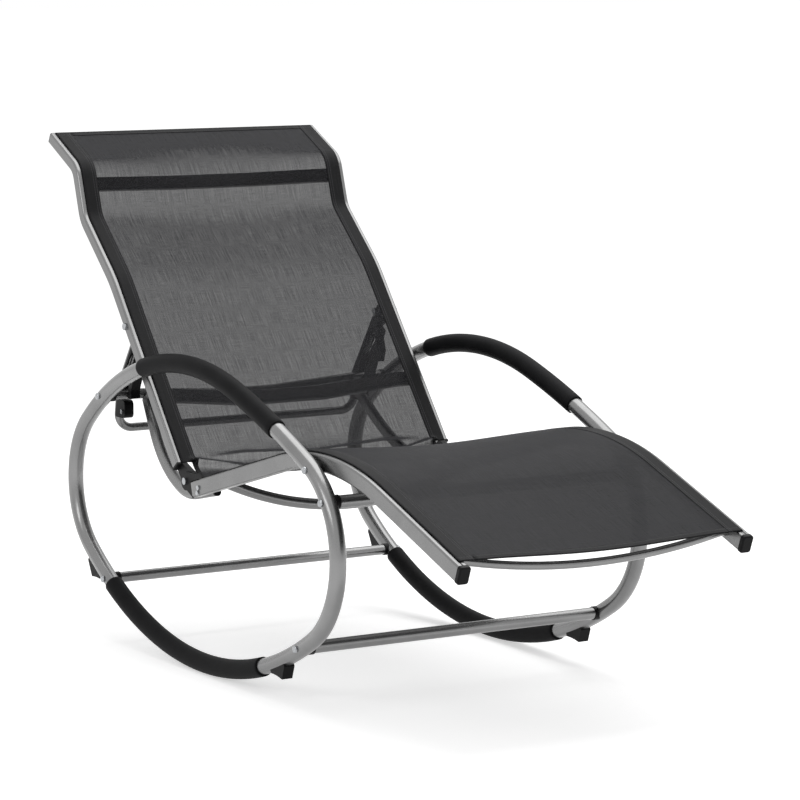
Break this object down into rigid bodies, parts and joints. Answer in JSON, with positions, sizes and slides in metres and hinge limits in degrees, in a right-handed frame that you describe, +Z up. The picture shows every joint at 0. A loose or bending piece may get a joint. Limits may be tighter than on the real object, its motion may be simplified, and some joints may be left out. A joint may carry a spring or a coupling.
{
  "type": "camp rocking chair",
  "caption": "Reclining camp rocking chair: tube hoops with foam sleeves that rock on the floor, a curved sling seat with leg rest, and a high sling back held by a toothed bail.",
  "frame": {"origin": "on the floor, midway across the chair and midway between the leg rest's front end and the head rest's rear end", "axes": "+Z up; +X to the sitter's left; -Y the way the sitter faces, towards the leg rest"},
  "size_m": [0.657, 1.4679, 0.9388],
  "materials": {
    "silver_tube": "satin silver-grey powder coat",
    "rail_aluminium": "satin silver-grey coated extrusion",
    "foam_sleeve": "matte closed-cell foam",
    "black_plastic": "fine-textured moulded nylon",
    "zinc_steel": "bright zinc plate",
    "bare_steel": "plain drawn steel",
    "sling_fabric": "coated open-weave mesh, dark hems"
  },
  "bodies": {
    "frame": {"armrest_sleeve_left": "foam_sleeve", "armrest_sleeve_right": "foam_sleeve", "crossbar_bolts": "zinc_steel", "crossbar_inserts": "bare_steel", "crossbar_lower_front": "silver_tube", "crossbar_lower_rear": "silver_tube", "crossbar_saddles": "black_plastic", "crossbar_under_seat": "silver_tube", "crossbar_upper_rear": "silver_tube", "hinge_bracket_left": "black_plastic", "hinge_bracket_right": "black_plastic", "hinge_pins": "zinc_steel", "hoop_front_left": "silver_tube", "hoop_front_right": "silver_tube", "hoop_rear_left": "silver_tube", "hoop_rear_right": "silver_tube", "hoop_splice_bottom_left": "bare_steel", "hoop_splice_bottom_right": "bare_steel", "hoop_splice_top_left": "bare_steel", "hoop_splice_top_right": "bare_steel", "rocker_sleeve_left": "foam_sleeve", "rocker_sleeve_right": "foam_sleeve", "seat_fabric": "sling_fabric", "seat_rail_bolts": "zinc_steel", "seat_rail_cap_left": "black_plastic", "seat_rail_cap_right": "black_plastic", "seat_rail_left": "rail_aluminium", "seat_rail_right": "rail_aluminium", "seat_rail_spacers": "black_plastic", "seat_spreader_front": "silver_tube", "seat_spreader_rear": "silver_tube", "stop_foot_front_left": "black_plastic", "stop_foot_front_right": "black_plastic", "stop_foot_rear_left": "black_plastic", "stop_foot_rear_right": "black_plastic", "support_arm_left": "rail_aluminium", "support_arm_plug_left": "black_plastic", "support_arm_plug_right": "black_plastic", "support_arm_right": "rail_aluminium", "support_arm_screws": "zinc_steel"},
    "back": {"back_bar_head": "rail_aluminium", "back_bar_low": "rail_aluminium", "back_fabric": "sling_fabric", "back_rail_cap_left": "black_plastic", "back_rail_cap_right": "black_plastic", "back_rail_left": "rail_aluminium", "back_rail_right": "rail_aluminium", "hinge_knuckle_left": "black_plastic", "hinge_knuckle_right": "black_plastic", "bail_pivot_bolts": "zinc_steel"},
    "bail": {"bail_block_left": "black_plastic", "bail_block_right": "black_plastic", "bail_block_screws": "zinc_steel", "recline_bail": "rail_aluminium", "recline_rack_left": "black_plastic", "recline_rack_right": "black_plastic"}
  },
  "joints": [
    {"name": "back_recline", "type": "hinge", "parent": "frame", "child": "back", "pos_m": [0, 0.184, 0.333], "axis": [-1, 0, 0], "range_deg": [0, 18]},
    {"name": "bail_swing", "type": "hinge", "parent": "back", "child": "bail", "pos_m": [0, 0.414, 0.593], "axis": [-1, 0, 0], "range_deg": [0, 10.8]}
  ],
  "couplings": [
    {"joint": "bail_swing", "follows": "back_recline", "ratio": 0.6}
  ]
}
